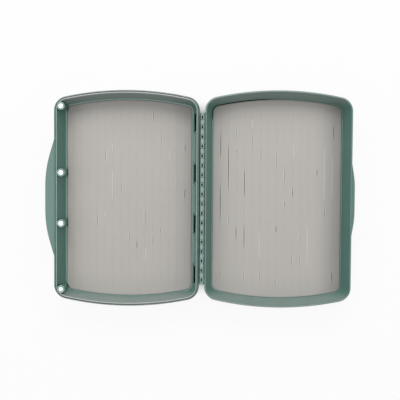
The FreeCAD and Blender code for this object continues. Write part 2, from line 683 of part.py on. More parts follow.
def seat_lid_magnets(body):
    """Form the closed pockets in the latch wall that hold the lid's magnets."""
    near = "(%s - lid_magnet_skin + magnet_fit)" % HALF_WIDTH
    sketch = new_sketch(body, "lid_magnet_seat_outline", "YZ_Plane", near)
    for place in LID_MAGNETS:
        add_circle(sketch, place, LID_MAGNET_Z, "(lid_magnet_diameter / 2 + magnet_fit)")
    pocket(body, "lid_magnet_seats", sketch, "lid_magnet_height + 2 * magnet_fit")


def make_pad(label, side, notched):
    """Make one slit pad, with notches round the bosses where it has any."""
    body = new_body(label)
    insets = seat_edges(side, "pad_clearance")
    sketch = outline_sketch(body, "pad_outline", side, "0", *insets)
    pad(body, "mat", sketch, "pad_thickness")
    document.recompute()
    top = value("pad_thickness")
    upper = edges_where(body.Shape, lambda edge: lies_at(edge, top))
    soften(body, "mat_rounding", "Fillet", upper, "pad_round")
    if notched:
        notches = new_sketch(body, "notch_outline")
        for place in BASE_MAGNETS:
            across = "%s(%s - boss_edge)" % ("-" if side < 0 else "", HALF_WIDTH)
            add_circle(notches, across, place, "(boss_diameter / 2 + pad_clearance)")
        pocket(body, "notches", notches, "pad_thickness", upwards=True)
    cut_slits(body, side)
    bind(body, "Placement.Base.x", BASE_X if side < 0 else LID_X)
    bind(body, "Placement.Base.z", SHEET_TOP)
    return body


def slit_counts(side):
    """Work out how many columns of slits, and how many in a column, a pad has room for."""
    end, hinge, latch = seat_edges(side, "pad_clearance")
    width = "(shell_width - (%s) - (%s) - 2 * slit_edge_across)" % (hinge, latch)
    length = "(shell_length - 2 * (%s) - 2 * slit_edge_along - slit_length)" % end
    columns = "(1 + floor(%s / slit_pitch_across))" % width
    rows = "(1 + floor(%s / slit_pitch_along))" % length
    return columns, rows


def cut_slits(body, side):
    """Cut the grid of slits that hold the hooks."""
    if side < 0:
        middle = "((base_foot_latch - wall_foot_hinge) / 2)"
    else:
        middle = "((wall_foot_hinge - lid_foot_latch) / 2)"
    columns, rows = slit_counts(side)
    edge_x = "(slit_pitch_across * (%s - 1) / 2)" % columns
    edge_y = "(slit_pitch_along * (%s - 1) / 2)" % rows
    sketch = new_sketch(body, "slit_outline", offset="pad_thickness")
    add_rectangle(
        sketch,
        "(%s - %s - slit_width / 2)" % (middle, edge_x),
        "(%s - %s + slit_width / 2)" % (middle, edge_x),
        "(-%s - slit_length / 2)" % edge_y,
        "(-%s + slit_length / 2)" % edge_y,
    )
    slit = pocket(body, "slit", sketch, "slit_cut")
    second = ("Y_Axis", "2 * " + edge_y, rows)
    pattern(body, "slits", slit, "X_Axis", "2 * " + edge_x, columns, second)


def make_sheet(label, side):
    """Make the adhesive sheet that holds one pad down."""
    body = new_body(label)
    insets = seat_edges(side, "pad_clearance + sheet_margin")
    sketch = outline_sketch(body, "sheet_outline", side, "0", *insets)
    pad(body, "adhesive", sketch, "sheet_thickness")
    bind(body, "Placement.Base.x", BASE_X if side < 0 else LID_X)
    bind(body, "Placement.Base.z", "floor_wall")
    return body


def make_pin():
    """Make the hinge pin that runs through all the knuckles."""
    body = new_body("hinge_pin")
    sketch = new_sketch(body, "pin_section", "XZ_Plane")
    add_circle(sketch, "0", "0", "pin_diameter / 2")
    pad(body, "wire", sketch, "2 * %s" % PIN_HALF, both_ways=True)
    document.recompute()
    rims = edges_where(body.Shape, lambda edge: isinstance(edge.Curve, Part.Circle))
    soften(body, "wire_ends", "Chamfer", rims, "pin_chamfer")
    bind(body, "Placement.Base.x", HINGE_X)
    bind(body, "Placement.Base.z", HINGE_Z)
    return body


def make_magnet(label, radius, height):
    """Make one disc magnet with chamfered edges."""
    body = new_body(label)
    disc = body.newObject("PartDesign::AdditiveCylinder", "disc")
    bind(disc, "Radius", radius)
    bind(disc, "Height", height)
    document.recompute()
    rims = edges_where(body.Shape, lambda edge: isinstance(edge.Curve, Part.Circle))
    soften(body, "disc_edges", "Chamfer", rims, "magnet_chamfer")
    return body


def make_magnets():
    """Make the base's four magnets and the four moulded into the lid."""
    bodies = []
    for number, place in enumerate(BASE_MAGNETS, start=1):
        body = make_magnet("base_magnet_%d" % number, "base_magnet_diameter / 2",
                           "base_magnet_height")
        bind(body, "Placement.Base.x", "%s - (%s - boss_edge)" % (BASE_X, HALF_WIDTH))
        bind(body, "Placement.Base.y", place)
        foot = "%s - base_magnet_recess - base_magnet_height" % TONGUE_TOP
        bind(body, "Placement.Base.z", foot)
        bodies.append(body)
    for number, place in enumerate(LID_MAGNETS, start=1):
        body = make_magnet("lid_magnet_%d" % number, "lid_magnet_diameter / 2",
                           "lid_magnet_height")
        body.Placement.Rotation = FreeCAD.Rotation(Y_DIRECTION, -90)
        bind(body, "Placement.Base.x", "%s + %s - lid_magnet_skin" % (LID_X, HALF_WIDTH))
        bind(body, "Placement.Base.y", place)
        bind(body, "Placement.Base.z", LID_MAGNET_Z)
        bodies.append(body)
    return bodies


def export(bodies):
    """Check every object and write each sub-part to its own file."""
    document.recompute()
    for item in document.Objects:
        if "Invalid" in item.State or "Error" in item.State:
            raise RuntimeError("%s is not sound: %s" % (item.Name, item.State))
    os.makedirs("parts", exist_ok=True)
    for body in bodies:
        shape = body.Shape
        if shape.isNull() or not shape.isValid():
            raise RuntimeError("%s has no valid shape" % body.Label)
        print(body.Label, "solids", len(shape.Solids), "volume", round(shape.Volume, 2))
    for body in bodies:
        body.Shape.exportStep("parts/%s.step" % body.Label)


export([
    make_base_shell(),
    make_lid_shell(),
    make_pad("base_pad", BASE_SIDE, True),
    make_pad("lid_pad", LID_SIDE, False),
    make_sheet("base_adhesive", BASE_SIDE),
    make_sheet("lid_adhesive", LID_SIDE),
    make_pin(),
] + make_magnets())
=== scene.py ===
import json
import math

import bpy
from bpy.props import FloatProperty, FloatVectorProperty, IntProperty, PointerProperty
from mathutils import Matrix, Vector, noise


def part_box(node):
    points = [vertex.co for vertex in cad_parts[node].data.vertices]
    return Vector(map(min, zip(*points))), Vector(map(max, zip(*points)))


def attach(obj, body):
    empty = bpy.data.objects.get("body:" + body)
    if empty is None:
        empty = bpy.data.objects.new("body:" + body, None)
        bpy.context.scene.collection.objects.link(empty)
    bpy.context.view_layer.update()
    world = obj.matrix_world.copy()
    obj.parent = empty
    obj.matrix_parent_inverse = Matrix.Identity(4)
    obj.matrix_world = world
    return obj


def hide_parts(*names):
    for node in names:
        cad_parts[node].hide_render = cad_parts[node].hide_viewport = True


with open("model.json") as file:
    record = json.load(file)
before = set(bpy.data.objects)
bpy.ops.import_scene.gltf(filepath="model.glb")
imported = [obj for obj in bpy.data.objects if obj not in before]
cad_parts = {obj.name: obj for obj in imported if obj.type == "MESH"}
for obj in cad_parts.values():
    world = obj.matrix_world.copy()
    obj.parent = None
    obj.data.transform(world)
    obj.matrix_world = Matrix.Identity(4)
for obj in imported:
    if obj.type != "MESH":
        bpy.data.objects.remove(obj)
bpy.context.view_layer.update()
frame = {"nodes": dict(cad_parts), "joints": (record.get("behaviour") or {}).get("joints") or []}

bl_info = {
    "name": "Fly Box",
    "version": (1, 0, 0),
    "blender": (4, 5, 0),
    "location": "View3D > Sidebar > Fly Box",
    "description": "Dresses an open fly box: moulded trays, slit pads, magnets and hinge pin",
    "category": "Object",
}

MM = 0.001
HINGE_X = frame["joints"][0]["pos_m"][0]
SHARP_ANGLE = math.radians(50)
FLOOR_DROP = 0.1 * MM

# The slits that hooks have pulled open, read along each column of slits.
# Each row gives the column, the middle of the opening in millimetres along the
# hinge, its length in millimetres and how it looks.
OPEN_SLITS = {
    "base_pad": [
        (10, 71.1, 8.7, "lipped"), (11, 51.1, 7.0, "lipped"), (5, 44.1, 7.0, "pale"),
        (4, 36.7, 7.8, "lipped"), (5, 11.9, 28.0, "pale"), (12, 36.7, 9.5, "pale"),
        (14, 43.7, 6.0, "gaping"), (6, 10.2, 8.7, "lipped"), (13, 13.7, 10.4, "lipped"),
        (14, 4.1, 8.7, "gaping"), (4, -14.2, 5.2, "pale"), (3, -19.4, 8.7, "lipped"),
        (9, -17.2, 16.5, "lipped"), (11, -28.1, 5.2, "lipped"), (7, -33.8, 9.6, "lipped"),
        (8, -40.3, 7.0, "gaping"), (10, -37.2, 7.8, "lipped"), (9, -49.0, 12.2, "pale"),
    ],
    "lid_pad": [
        (0, 46.0, 21.5, "gaping"), (1, 27.5, 41.0, "gaping"), (1, 66.7, 4.3, "lipped"),
        (2, 57.6, 8.6, "lipped"), (2, 41.7, 4.3, "lipped"), (3, 13.8, 24.0, "gaping"),
        (4, 65.0, 7.7, "pale"), (4, 49.0, 12.0, "lipped"), (5, 39.6, 13.8, "lipped"),
        (7, 33.1, 16.3, "lipped"), (8, 20.6, 10.3, "lipped"), (9, 41.0, 14.0, "pale"),
        (9, 5.6, 7.7, "gaping"), (12, 22.8, 6.0, "gaping"), (13, 22.8, 49.0, "pale"),
        (14, 57.6, 12.0, "gaping"), (14, 19.0, 41.0, "pale"), (0, -4.3, 31.0, "gaping"),
        (1, -18.9, 6.9, "lipped"), (2, -28.8, 12.9, "gaping"), (3, -32.3, 21.5, "gaping"),
        (5, -15.9, 4.3, "lipped"), (5, -40.4, 24.0, "pale"), (7, -25.8, 6.9, "gaping"),
        (8, -4.3, 5.2, "lipped"), (9, -53.3, 6.9, "lipped"), (10, -33.5, 6.9, "lipped"),
        (10, -52.9, 6.0, "lipped"), (11, -40.9, 40.0, "pale"), (13, -12.0, 6.9, "lipped"),
        (0, -67.0, 8.6, "lipped"), (3, -65.8, 6.0, "lipped"), (5, -65.8, 6.0, "lipped"),
        (7, -72.2, 3.4, "lipped"), (14, -66.7, 9.5, "gaping"),
    ],
}

# How wide, deep and raised each kind of open slit is, as shares of the full
# opening, and how much paler its lips are painted: a painted highlight.
SLIT_KIND_SHARES = {
    "gaping": {"gap": 0.85, "depth": 1.0, "lip": 0.55, "pale": 0.3},
    "lipped": {"gap": 0.7, "depth": 0.8, "lip": 1.0, "pale": 0.85},
    "pale": {"gap": 0.3, "depth": 0.5, "lip": 0.8, "pale": 0.8},
}

# The soft lights of the studio: a name, the place, the two sides of the panel,
# all in metres, and the share of the light level that it gives a level face.
SOFT_LIGHTS = [
    ("overhead", (-0.14, 0.02, 1.1), (0.85, 0.7), 0.27),
    ("back", (0.0, 1.0, 0.6), (1.2, 0.7), 0.37),
    ("left", (-1.0, 0.05, 0.6), (1.0, 0.6), 0.12),
    ("right", (1.0, 0.05, 0.5), (1.0, 0.5), 0.11),
    ("front", (0.0, -1.0, 0.45), (1.2, 0.7), 0.07),
]
WORLD_SHARE = 0.05


def colour_setting(**facts):
    """Define a colour that a user can change."""
    return FloatVectorProperty(subtype="COLOR", min=0, max=1, **facts)


def length_setting(**facts):
    """Define a length that a user can change."""
    return FloatProperty(unit="LENGTH", **facts)


def share_setting(**facts):
    """Define a share from 0 to 1 that a user can change."""
    return FloatProperty(subtype="FACTOR", min=0, max=1, **facts)


class TraySettings(bpy.types.PropertyGroup):
    """Finish of the two moulded trays"""

    colour: colour_setting(
        name="Plastic", description="Colour of the moulded plastic", default=(0.06, 0.165, 0.135))
    # Worn colour: real wear on sharp edges, and also a painted highlight on the tongue's crest, the
    # knuckles and the lid's edge by the hinge.
    worn_and_highlight_colour: colour_setting(
        name="Worn edges", description="Colour of the plastic where its edges are rubbed",
        default=(0.22, 0.38, 0.33))
    # Painted sheen: the inner walls and rims of the bowed ends are painted this paler grey for the
    # light they reflect.
    end_sheen_colour: colour_setting(
        name="Dulled ends", description="Colour of the plastic on the bowed ends, which rub most",
        default=(0.25, 0.302, 0.282))
    lid_end_share: share_setting(
        name="Lid's ends", description="How dull the lid's ends are, as a share of the base's",
        default=0.67)
    # Painted highlight: the tongue's crest at the bowed ends and the knuckles are painted this pale
    # grey.
    crest_highlight_colour: colour_setting(
        name="Pale crests", description="Colour of the tongue's rubbed crest at the bowed ends",
        default=(0.45, 0.475, 0.465))
    ends_start: length_setting(
        name="Ends from", description="Distance from the middle at which the dulled ends start",
        default=78 * MM)
    ends_full: length_setting(
        name="Ends full", description="Distance from the middle at which the ends are fully dull",
        default=85 * MM)
    # Painted highlight: within this reach of the hinge's axis the knuckles are painted paler.
    barrel_reach: length_setting(
        name="Barrel", description="Distance from the hinge's axis within which it is rubbed paler",
        default=2.2 * MM)
    # Beside the hinge, the base's gap gets painted shade and the lid's edge a painted highlight.
    gap_offset: length_setting(
        name="Hinge gaps", description="Distance of the gaps beside the hinge from its axis",
        default=2.15 * MM)
    gap_height: length_setting(
        name="Gap height", description="Height above which the gaps beside the hinge are tinted",
        default=15 * MM)
    # The rims at the bowed ends get the painted sheen.
    rim_height: length_setting(
        name="Rim", description="Height of the trays' rims, which are dulled at the ends",
        default=17 * MM)
    # Painted shade: the slots' floors at this height are painted near black.
    slot_floor: length_setting(
        name="Slots", description="Height of the dark floors of the slots beside the hinge",
        default=6 * MM)
    # Painted shadow: the ledge at this height round the far end of the lid's pad is painted dark.
    seam_height: length_setting(
        name="Seam", description="Height of the dark seam at the end of the lid's pad",
        default=5.8 * MM)
    seam_start: length_setting(
        name="Seam from", description="Distance from the middle at which that seam starts",
        default=66 * MM)
    seam_fade: length_setting(
        name="Seam fades", description="Place across the box from which that seam fades",
        default=50 * MM)
    roughness: share_setting(
        name="Roughness", description="Roughness of the moulded faces", default=0.36)
    gloss: share_setting(
        name="Gloss", description="Strength of the plastic's sheen, where 0.5 is plain",
        default=1.0)
    # Painted shade: gaps and slots up to this width are painted darker inside.
    crevice_size: length_setting(
        name="Crevices", description="How wide a gap still looks dark inside", default=2.2 * MM)
    # Painted highlight: above this height the tongue's crest and the knuckles' tops are painted
    # pale.
    crest_height: length_setting(
        name="Crests", description="Height above which the tongue and knuckles are rubbed pale",
        default=17.9 * MM)
    cloud_size: length_setting(
        name="Clouds", description="Size of the soft clouds in the plastic's colour",
        default=22 * MM)
    flow_size: length_setting(
        name="Flow lines", description="Width of the faint lines left by the flow in the mould",
        default=1.6 * MM)
    grain_size: length_setting(
        name="Grain", description="Size of the mould's fine grain", default=0.45 * MM)
    grain_height: length_setting(
        name="Grain height", description="Height of the mould's fine grain", default=0.012 * MM)
    edge_round: length_setting(
        name="Edge softness", description="Radius that the light sees on sharp moulded edges",
        default=0.3 * MM)


class PadSettings(bpy.types.PropertyGroup):
    """Shape and finish of the two slit pads"""

    colour: colour_setting(
        name="Pad", description="Colour of the pads", default=(0.555, 0.53, 0.5))
    # Painted shade: the deep part of an opened slit is painted this dark colour.
    slit_colour: colour_setting(
        name="Slit", description="Colour deep inside a slit", default=(0.17, 0.155, 0.145))
    # Painted highlight: the raised lips of opened slits are painted this paler colour.
    lip_colour: colour_setting(
        name="Lip", description="Colour of a stretched slit's lips", default=(0.78, 0.76, 0.73))
    tray_reach: length_setting(
        name="Tray reach", description="Distance of each tray's middle from the hinge",
        default=64.35 * MM)
    bow_radius: length_setting(
        name="End radius", description="Radius of the trays' bowed ends, which the pads follow",
        default=248.7 * MM)
    corner_radius: length_setting(
        name="Corner radius", description="Radius of the trays' corners, which the pads follow",
        default=12.1 * MM)
    edge_round: length_setting(
        name="Edge rounding", description="Rounding of the pads' upper edges", default=0.35 * MM)
    spread: length_setting(
        name="Spread", description="How far the soft pads spread towards the edges of their seats",
        default=0.18 * MM)
    notch_radius: length_setting(
        name="Notch radius", description="Radius of the room round each magnet boss",
        default=3.7 * MM)
    notch_reach: length_setting(
        name="Notch reach", description="How far from a boss's axis the pad is pressed aside",
        default=5.5 * MM)
    slit_columns: IntProperty(
        name="Columns", description="Count of slit columns on each pad", default=15)
    slit_rows: IntProperty(
        name="Rows", description="Count of slits in a column", default=10)
    slit_pitch_across: length_setting(
        name="Column pitch", description="Pitch of the slit columns", default=6.9 * MM)
    slit_pitch_along: length_setting(
        name="Row pitch", description="Pitch of the slits along a column", default=15.6 * MM)
    slit_length: length_setting(
        name="Slit length", description="Length of one closed slit", default=12.4 * MM)
    shut_gap: length_setting(
        name="Closed slit", description="Width of a closed slit", default=0.03 * MM)
    shut_depth: length_setting(
        name="Closed depth", description="Depth of a closed slit's visible groove",
        default=0.06 * MM)
    open_gap: length_setting(
        name="Open slit", description="Width of a fully opened slit", default=0.5 * MM)
    open_depth: length_setting(
        name="Open depth", description="Depth of a fully opened slit", default=1.9 * MM)
    lip_reach: length_setting(
        name="Lip reach", description="How far a raised lip stands out from its slit",
        default=1.15 * MM)
    lip_crest: length_setting(
        name="Lip crest", description="Distance of a lip's crest from its slit", default=0.45 * MM)
    lip_height: length_setting(
        name="Lip height", description="Height of the lips of a fully opened slit",
        default=0.28 * MM)
    unevenness: length_setting(
        name="Unevenness", description="Height of the pad's gentle waves", default=0.1 * MM)
    # Painted shade: the pads are painted darker within this reach of the walls.
    wall_shade_reach: length_setting(
        name="Dull border", description="How far from the walls the pads look duller",
        default=22 * MM)
    # The painted shade by the walls is faintest at the near end and strongest at the far end.
    near_end: length_setting(
        name="Near end", description="Place of the near end, where the pads' border is faintest",
        default=-85 * MM)
    far_end: length_setting(
        name="Far end", description="Place of the far end, where the pads' border is dullest",
        default=85 * MM)
    # Painted shade: the lid's pad is painted darker towards its wall at the latch side.
    latch_shade_start: length_setting(
        name="Soil from", description="Place across the box at which the lid's pad gets duller",
        default=97 * MM)
    latch_shade_full: length_setting(
        name="Soil full", description="Place across the box at which the lid's pad is dullest",
        default=126 * MM)
    spacing: length_setting(
        name="Mesh spacing", description="Spacing of the pad's mesh along its columns",
        default=1.3 * MM)


class MetalSettings(bpy.types.PropertyGroup):
    """Finish of the magnets and the hinge pin"""

    nickel: colour_setting(
        name="Nickel", description="Colour of the magnets' plating", default=(0.86, 0.88, 0.87))
    stained_nickel: colour_setting(
        name="Stains", description="Colour of the stains in the plating", default=(0.7, 0.72, 0.72))
    dull_nickel: colour_setting(
        name="Dull nickel", description="Colour of the plating of the magnet at the near end",
        default=(0.5, 0.56, 0.53))
    dull_start: length_setting(
        name="Dull from", description="Place along the hinge from which the plating is duller",
        default=-60 * MM)
    dull_full: length_setting(
        name="Dull fully", description="Place along the hinge at which the plating is dullest",
        default=-75 * MM)
    wire: colour_setting(
        name="Wire", description="Colour of the darkened hinge wire", default=(0.045, 0.048, 0.05))
    stained_wire: colour_setting(
        name="Wire stains", description="Colour of the stains on the hinge wire",
        default=(0.1, 0.09, 0.08))
    # Painted shade: the wire inside hinge windows up to this width is painted darker.
    window_size: length_setting(
        name="Windows", description="How wide a hinge window still looks dark inside",
        default=3 * MM)
    turning_pitch: share_setting(
        name="Turning marks", description="Rings across a magnet's face, as a share of its width",
        default=0.045)


class FilmSettings(bpy.types.PropertyGroup):
    """Finish of the adhesive sheets"""

    colour: colour_setting(
        name="Film", description="Colour of the adhesive sheets", default=(0.74, 0.72, 0.66))
    fibre_colour: colour_setting(
        name="Fibre colour", description="Colour of the fibres in the sheets",
        default=(0.84, 0.83, 0.79))
    fibre_size: length_setting(
        name="Fibres", description="Width of the fibres in the sheets", default=0.25 * MM)


class StageSettings(bpy.types.PropertyGroup):
    """Floor, light and camera"""

    floor_colour: colour_setting(
        name="Floor", description="Colour of the floor", default=(0.8, 0.8, 0.8))
    mottle_colour: colour_setting(
        name="Floor mottle", description="Colour of the floor's faint mottle",
        default=(0.82, 0.82, 0.82))
    floor_glow: share_setting(
        name="Floor glow", description="How much of the floor's white the camera sees unshaded",
        default=0.9)
    # Painted shade: gaps under the box up to this width dim the floor's glow.
    gap_reach: length_setting(
        name="Gap reach", description="Width of the gaps under the box that stay dark",
        default=25 * MM)
    light_level: FloatProperty(
        name="Light level", description="Light on a level face, where 1 shows a colour as written",
        min=0, default=1.0)
    camera_place: FloatVectorProperty(
        name="Camera", description="Place of the camera above the open box",
        subtype="TRANSLATION", unit="LENGTH", default=(0.02012, 0.02102, 0.617))
    camera_turn: FloatVectorProperty(
        name="Camera turn", description="Turn of the camera from looking straight down",
        subtype="EULER", unit="ROTATION", default=(-0.03629, 0.03222, 0.006771))
    camera_lens: FloatProperty(
        name="Lens", description="Focal length of the camera in millimetres", default=63.72)


class FlyBoxSettings(bpy.types.PropertyGroup):
    """Everything that can be set on the fly box"""

    trays: PointerProperty(type=TraySettings)
    pads: PointerProperty(type=PadSettings)
    metal: PointerProperty(type=MetalSettings)
    film: PointerProperty(type=FilmSettings)
    stage: PointerProperty(type=StageSettings)


def pick(sockets, key):
    """Find a socket by its place, its identifier or its name."""
    if isinstance(key, int):
        return sockets[key]
    for socket in sockets:
        if key in (socket.identifier, socket.name):
            return socket
    raise KeyError("no socket named %s" % key)


def fitted(socket, number):
    """Give a plain number or colour in the length that a socket takes."""
    if socket.type not in ("RGBA", "VECTOR"):
        return number
    parts = list(number) if hasattr(number, "__len__") else [number] * 3
    return parts + [1] if socket.type == "RGBA" and len(parts) == 3 else parts


class Value:
    """A socket of a node tree that Python's own operators work on."""

    def __init__(self, tree, socket):
        self.tree = tree
        self.socket = socket

    def combine(self, operation, first, second):
        """Add the one node that joins two sockets, or a socket and a number."""
        kinds = {item.socket.type for item in (first, second) if isinstance(item, Value)}
        if "RGBA" in kinds:
            settings = {"data_type": "RGBA", "blend_type": operation}
            inputs = {"Factor_Float": 1, "A_Color": first, "B_Color": second}
            return self.tree.node("ShaderNodeMix", settings, inputs, "Result_Color")
        kind = "ShaderNodeVectorMath" if "VECTOR" in kinds else "ShaderNodeMath"
        return self.tree.node(kind, {"operation": operation}, {0: first, 1: second})

    def __add__(self, other):
        return self.combine("ADD", self, other)

    def __radd__(self, other):
        return self.combine("ADD", other, self)

    def __sub__(self, other):
        return self.combine("SUBTRACT", self, other)

    def __rsub__(self, other):
        return self.combine("SUBTRACT", other, self)

    def __mul__(self, other):
        return self.combine("MULTIPLY", self, other)

    def __rmul__(self, other):
        return self.combine("MULTIPLY", other, self)


class Tree:
    """The emptied node tree of a material or a world."""

    def __init__(self, owner):
        owner.use_nodes = True
        self.nodes = owner.node_tree.nodes
        self.links = owner.node_tree.links
        self.nodes.clear()

    def node(self, kind, settings=None, inputs=None, output=0):
        """Add a node: first its settings, then the values or links of its sockets."""
        made = self.nodes.new(kind)
        for name, setting in (settings or {}).items():
            setattr(made, name, setting)
        for key, item in (inputs or {}).items():
            socket = pick(made.inputs, key)
            if isinstance(item, Value):
                self.links.new(item.socket, socket)
            else:
                socket.default_value = fitted(socket, item)
        return Value(self, pick(made.outputs, output)) if made.outputs else None

    def place(self, kind="Object"):
        """Give the point on the surface, or its normal, in the object's own terms."""
        return self.node("ShaderNodeTexCoord", output=kind)

    def coordinate(self, place, axis):
        """Give one coordinate of a point."""
        return self.node("ShaderNodeSeparateXYZ", {}, {"Vector": place}, axis)

    def facing(self, axis):
        """Give how far the surface faces along one axis, from -1 to 1."""
        return self.coordinate(self.place("Normal"), axis)

    def noise(self, place, size, detail=2.0, roughness=0.5):
        """Give soft noise from 0 to 1 whose patches are about one size wide."""
        inputs = {"Vector": place, "Scale": 1 / size, "Detail": detail, "Roughness": roughness}
        return self.node("ShaderNodeTexNoise", {}, inputs, "Fac")

    def streaks(self, place, size, share, axis=1, **look):
        """Give noise drawn out along an axis, whose width is a share of its length."""
        stretch = [1.0, 1.0, 1.0]
        stretch[axis] = share
        return self.noise(place * stretch, size, **look)

    def cells(self, place, size):
        """Give the distance from the nearest of many scattered points, as a share of size."""
        inputs = {"Vector": place, "Scale": 1 / size}
        return self.node("ShaderNodeTexVoronoi", {}, inputs, "Distance")

    def step(self, item, low, high):
        """Turn a range of values into a smooth step from 0 to 1."""
        inputs = {"Value": item, "From Min": low, "From Max": high}
        settings = {"interpolation_type": "SMOOTHSTEP"}
        return self.node("ShaderNodeMapRange", settings, inputs, "Result")

    def near(self, item, middle, inner, outer):
        """Give 1 where a value lies within inner of a middle, and 0 beyond outer."""
        away = item - middle
        return self.step(away * away, outer ** 2, inner ** 2)

    def blend(self, first, second, factor):
        """Fade from one colour to another."""
        inputs = {"Factor_Float": factor, "A_Color": first, "B_Color": second}
        return self.node("ShaderNodeMix", {"data_type": "RGBA"}, inputs, "Result_Color")

    def bump(self, height, distance, normal=None):
        """Give the normal of a surface raised by a height from 0 to 1."""
        inputs = {"Height": height, "Distance": distance, "Strength": 1.0}
        if normal:
            inputs["Normal"] = normal
        return self.node("ShaderNodeBump", {}, inputs, "Normal")

    def larger(self, first, second):
        """Give the larger of two values."""
        inputs = {0: first, 1: second}
        return self.node("ShaderNodeMath", {"operation": "MAXIMUM"}, inputs)

    def openness(self, size, shut, free):
        """Give 0 where what stands within a size hides the sky, and 1 in the open.

        Shut and free are the shares of the sky seen there at which it starts and ends.
        """
        inputs = {"Distance": size}
        sky = self.node("ShaderNodeAmbientOcclusion", {"samples": 8}, inputs, "AO")
        return self.step(sky, shut, free)

    def crevice(self, size):
        """Give 1 in the open and less inside gaps and slots up to a size wide; in a colour it
        paints shade.
        """
        return self.openness(size, shut=0.15, free=0.9)

    def finish(self, shader):
        """Make a shader the surface of the material."""
        self.node("ShaderNodeOutputMaterial", {}, {"Surface": shader})


def new_material(name):
    """Start a material and give it with its empty tree."""
    material = bpy.data.materials.new(name)
    return material, Tree(material)


def weighted(weights, **patterns):
    """Add patterns to a plain value, each by the weight that bears its name."""
    total = weights["plain"]
    for name, pattern in patterns.items():
        total = total + pattern * weights[name]
    return total


# The soft edges of the masks that pick out one part of a tray.
LEVEL_SAME = 0.08 * MM
LEVEL_OFF = 0.12 * MM
SEAM_START_RAMP = 4 * MM
SEAM_FADE_RAMP = 25 * MM
SEAM_DARKNESS = {"plain": 0.45, "hinge_side": 0.5}
BARREL_RAMP = 0.3 * MM
GAP_INNER = 0.3 * MM
GAP_OUTER = 0.7 * MM
GAP_RAMP = 0.5 * MM
RIM_FOOT = 0.8 * MM
RIM_TOP = 0.1 * MM


def level_faces(tree, place, height):
    """Give 1 on the faces that look up and lie near one height."""
    near = tree.near(tree.coordinate(place, "Z"), height, LEVEL_SAME, LEVEL_OFF)
    return near * tree.step(tree.facing("Z"), low=0.8, high=0.95)


def lid_half(tree, place):
    """Give 1 on the lid's side of the open box and 0 on the base's."""
    return tree.step(tree.coordinate(place, "X"), low=0, high=MM)


def lid_seam_shadow(tree, place, settings):
    """Give the painted shadow on the ledge round the far end of the lid's pad, darkest by the
    hinge.
    """
    start, fade = settings.seam_start, settings.seam_fade
    far = tree.step(tree.coordinate(place, "Y"), start, start + SEAM_START_RAMP)
    hinge_side = tree.step(tree.coordinate(place, "X"), fade + SEAM_FADE_RAMP, fade)
    fading = weighted(SEAM_DARKNESS, hinge_side=hinge_side)
    ledge = level_faces(tree, place, settings.seam_height)
    return ledge * far * lid_half(tree, place) * fading


def hinge_barrel(tree, place, settings):
    """Give 1 on the hinge's knuckles and 0 elsewhere."""
    reach = settings.barrel_reach
    return tree.near(tree.coordinate(place, "X"), HINGE_X, reach - BARREL_RAMP, reach)


def beside_hinge(tree, place, side, settings):
    """Give 1 in the gap beside the hinge: the base's for side -1, the lid's for side 1."""
    middle = HINGE_X + side * settings.gap_offset
    near = tree.near(tree.coordinate(place, "X"), middle, GAP_INNER, GAP_OUTER)
    bottom = settings.gap_height
    return near * tree.step(tree.coordinate(place, "Z"), bottom - GAP_RAMP, bottom + GAP_RAMP)


def end_sheen_mask(tree, place, height, settings):
    """Give 1 on the insides and rims of the bowed ends, which get a painted sheen, and 0 elsewhere.

    A face's place along the box times the way it faces is largest on an end wall
    that looks inward, and nothing on a level face.
    """
    along = tree.coordinate(place, "Y")
    ends = tree.step(along * along, settings.ends_start ** 2, settings.ends_full ** 2)
    inside = tree.step(0 - along * tree.facing("Y"), low=10 * MM, high=50 * MM)
    rim = tree.step(height, settings.rim_height - RIM_FOOT, settings.rim_height - RIM_TOP)
    return ends * tree.larger(inside, rim)


# What each pattern adds to the trays' colour, roughness and wear, and to the painted crest
# highlight and end sheen.
TRAY_SHADE = {"plain": 0.9, "clouds": 0.12, "flow": 0.05, "grain": 0.03}
TRAY_ROUGHNESS = {"plain": -0.07, "clouds": 0.1, "grain": 0.05, "edge": -0.08}
CREST_HIGHLIGHT = {"plain": 0.55, "rubbed": 0.4}
END_SHEEN = {"plain": 0.7, "rubbed": 0.4}
EDGE_WEAR = 0.8
FLECK_WEAR = 0.06
LID_GAP_HIGHLIGHT = 0.95
BARREL_PALENESS = 0.2
SLOT_DARKNESS = 0.97
BASE_GAP_DARKNESS = 0.75
CREST_RAMP = 0.4 * MM


